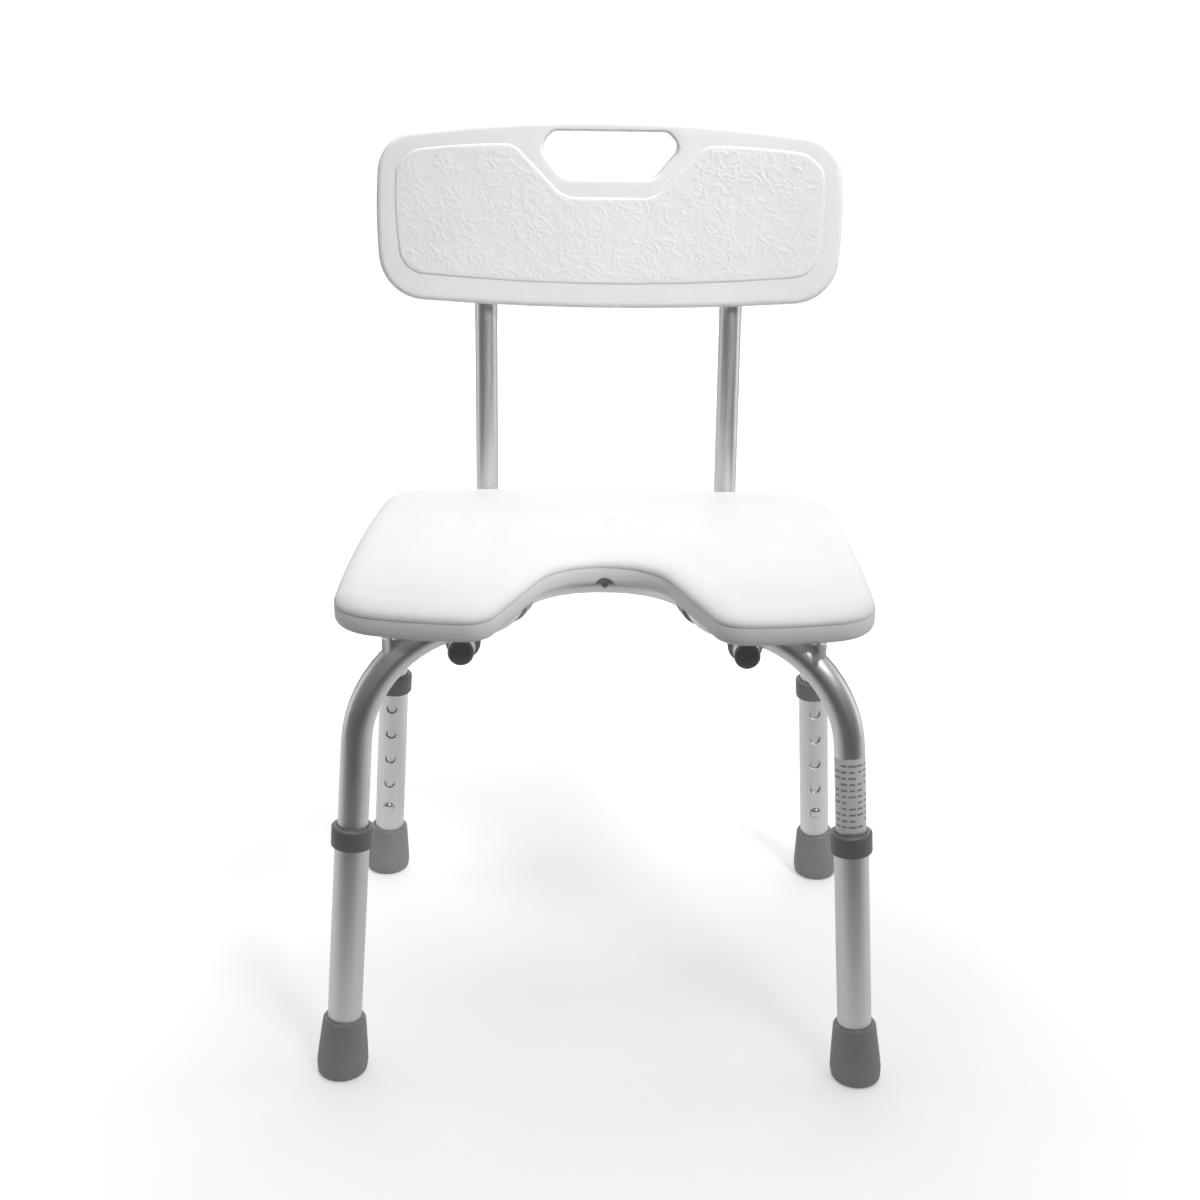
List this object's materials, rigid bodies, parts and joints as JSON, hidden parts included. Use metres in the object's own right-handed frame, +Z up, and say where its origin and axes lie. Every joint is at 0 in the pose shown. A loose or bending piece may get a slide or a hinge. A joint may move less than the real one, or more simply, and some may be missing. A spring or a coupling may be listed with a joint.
{
  "type": "shower chair",
  "caption": "Shower chair with a horseshoe seat, grab-handle backrest and telescoping splayed aluminium legs with rubber tips.",
  "frame": {"origin": "on the floor, under the middle of the chair's bounding box", "axes": "+Z up, -Y is the front where the seat is cut out, +X is the right-hand side seen from the front; the chair is symmetric about X = 0 apart from its blank label"},
  "size_m": [0.4346, 0.3844, 0.6696],
  "materials": {
    "moulded_plastic": "satin white blow-moulded polyethylene",
    "anodised_aluminium": "satin silver anodised",
    "foot_rubber": "matte grey",
    "collar_plastic": "satin grey",
    "plug_plastic": "satin dark grey",
    "bracket_plastic": "satin light grey",
    "button_chrome": "polished",
    "steel_hardware": "zinc plated",
    "label_paper": "blank white film"
  },
  "bodies": {
    "frame": {"seat": "moulded_plastic", "front_frame_tube": "anodised_aluminium", "rear_frame_tube": "anodised_aluminium", "guide_screws": "steel_hardware", "saddle_screws": "steel_hardware", "centre_screw": "steel_hardware", "info_label": "label_paper", "tube_saddle_front_left": "bracket_plastic", "tube_saddle_front_right": "bracket_plastic", "tube_saddle_rear_left": "bracket_plastic", "tube_saddle_rear_right": "bracket_plastic", "post_guide_front_left": "bracket_plastic", "post_guide_front_right": "bracket_plastic", "post_guide_rear_left": "bracket_plastic", "post_guide_rear_right": "bracket_plastic", "button_spring_front_left": "steel_hardware", "button_spring_front_right": "steel_hardware", "button_spring_rear_left": "steel_hardware", "button_spring_rear_right": "steel_hardware"},
    "backrest": {"backrest_panel": "moulded_plastic", "panel_screws": "steel_hardware", "back_post_left": "anodised_aluminium", "back_post_right": "anodised_aluminium", "post_plug_left": "plug_plastic", "post_plug_right": "plug_plastic"},
    "leg_front_left": {"leg_tube_front_left": "anodised_aluminium", "leg_collar_front_left": "collar_plastic", "leg_foot_front_left": "foot_rubber", "foot_washer_front_left": "steel_hardware"},
    "button_front_left": {"snap_button_front_left": "button_chrome"},
    "leg_front_right": {"leg_tube_front_right": "anodised_aluminium", "leg_collar_front_right": "collar_plastic", "leg_foot_front_right": "foot_rubber", "foot_washer_front_right": "steel_hardware"},
    "button_front_right": {"snap_button_front_right": "button_chrome"},
    "leg_rear_left": {"leg_tube_rear_left": "anodised_aluminium", "leg_collar_rear_left": "collar_plastic", "leg_foot_rear_left": "foot_rubber", "foot_washer_rear_left": "steel_hardware"},
    "button_rear_left": {"snap_button_rear_left": "button_chrome"},
    "leg_rear_right": {"leg_tube_rear_right": "anodised_aluminium", "leg_collar_rear_right": "collar_plastic", "leg_foot_rear_right": "foot_rubber", "foot_washer_rear_right": "steel_hardware"},
    "button_rear_right": {"snap_button_rear_right": "button_chrome"}
  },
  "joints": [
    {"name": "backrest_slide", "type": "slide", "parent": "frame", "child": "backrest", "axis": [0, 1, 0], "range_m": [0, 0.16]},
    {"name": "leg_slide_front_left", "type": "slide", "parent": "frame", "child": "leg_front_left", "axis": [-0.0696, -0.0696, -0.9951], "range_m": [0, 0.1016], "deforming": ["snap_button_front_left"]},
    {"name": "button_press_front_left", "type": "slide", "parent": "frame", "child": "button_front_left", "axis": [0.0049, -0.9976, 0.0694], "range_m": [0, 0.0036], "stiffness_N_per_m": 700, "deforming": ["button_spring_front_left"]},
    {"name": "leg_slide_front_right", "type": "slide", "parent": "frame", "child": "leg_front_right", "axis": [0.0696, -0.0696, -0.9951], "range_m": [0, 0.1016], "deforming": ["snap_button_front_right"]},
    {"name": "button_press_front_right", "type": "slide", "parent": "frame", "child": "button_front_right", "axis": [-0.0049, -0.9976, 0.0694], "range_m": [0, 0.0036], "stiffness_N_per_m": 700, "deforming": ["button_spring_front_right"]},
    {"name": "leg_slide_rear_left", "type": "slide", "parent": "frame", "child": "leg_rear_left", "axis": [-0.0696, 0.0696, -0.9951], "range_m": [0, 0.1016], "deforming": ["snap_button_rear_left"]},
    {"name": "button_press_rear_left", "type": "slide", "parent": "frame", "child": "button_rear_left", "axis": [0.0049, 0.9976, 0.0694], "range_m": [0, 0.0036], "stiffness_N_per_m": 700, "deforming": ["button_spring_rear_left"]},
    {"name": "leg_slide_rear_right", "type": "slide", "parent": "frame", "child": "leg_rear_right", "axis": [0.0696, 0.0696, -0.9951], "range_m": [0, 0.1016], "deforming": ["snap_button_rear_right"]},
    {"name": "button_press_rear_right", "type": "slide", "parent": "frame", "child": "button_rear_right", "axis": [-0.0049, 0.9976, 0.0694], "range_m": [0, 0.0036], "stiffness_N_per_m": 700, "deforming": ["button_spring_rear_right"]}
  ]
}
